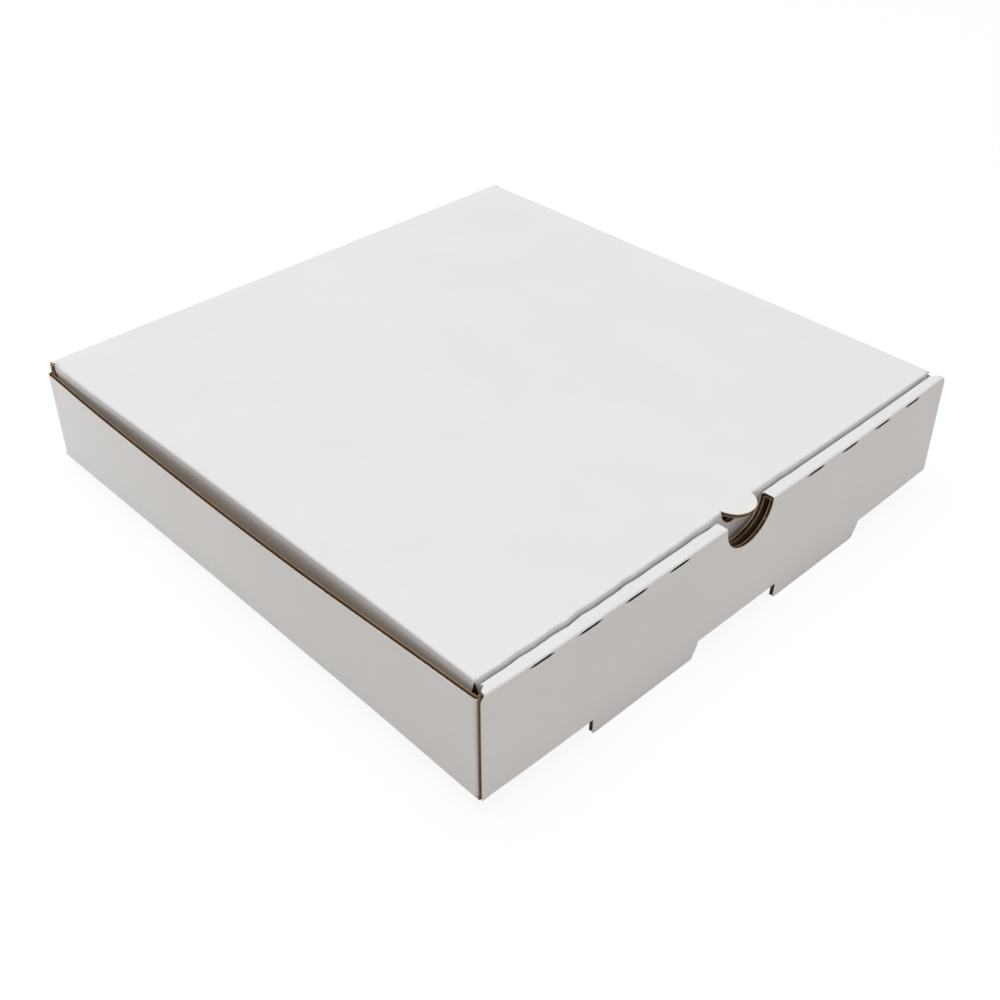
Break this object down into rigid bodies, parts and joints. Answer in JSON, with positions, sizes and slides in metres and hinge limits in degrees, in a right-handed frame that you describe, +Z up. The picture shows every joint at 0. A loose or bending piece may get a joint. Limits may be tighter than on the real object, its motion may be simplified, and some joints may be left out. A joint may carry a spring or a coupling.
{
  "type": "pizza box",
  "caption": "Low square takeaway box folded from white-faced corrugated board, with a double front wall, thumb notch, feet and a lid hinged on the rear wall.",
  "frame": {"origin": "under the middle of the box, at the level of the feet's tips", "axes": "+Z up, -Y out of the front wall with the thumb notch, +X to the right as seen from the front"},
  "size_m": [0.258, 0.262, 0.0555],
  "materials": {
    "white_board": "matt white paper outside, brown kraft inside and on the cut edges"
  },
  "bodies": {
    "tray": {"tray": "white_board"},
    "lid": {"lid": "white_board"}
  },
  "joints": [
    {"name": "lid_hinge", "type": "hinge", "parent": "tray", "child": "lid", "pos_m": [0, 0.131, 0.0555], "axis": [-1, 0, 0], "range_deg": [0, 189]}
  ]
}
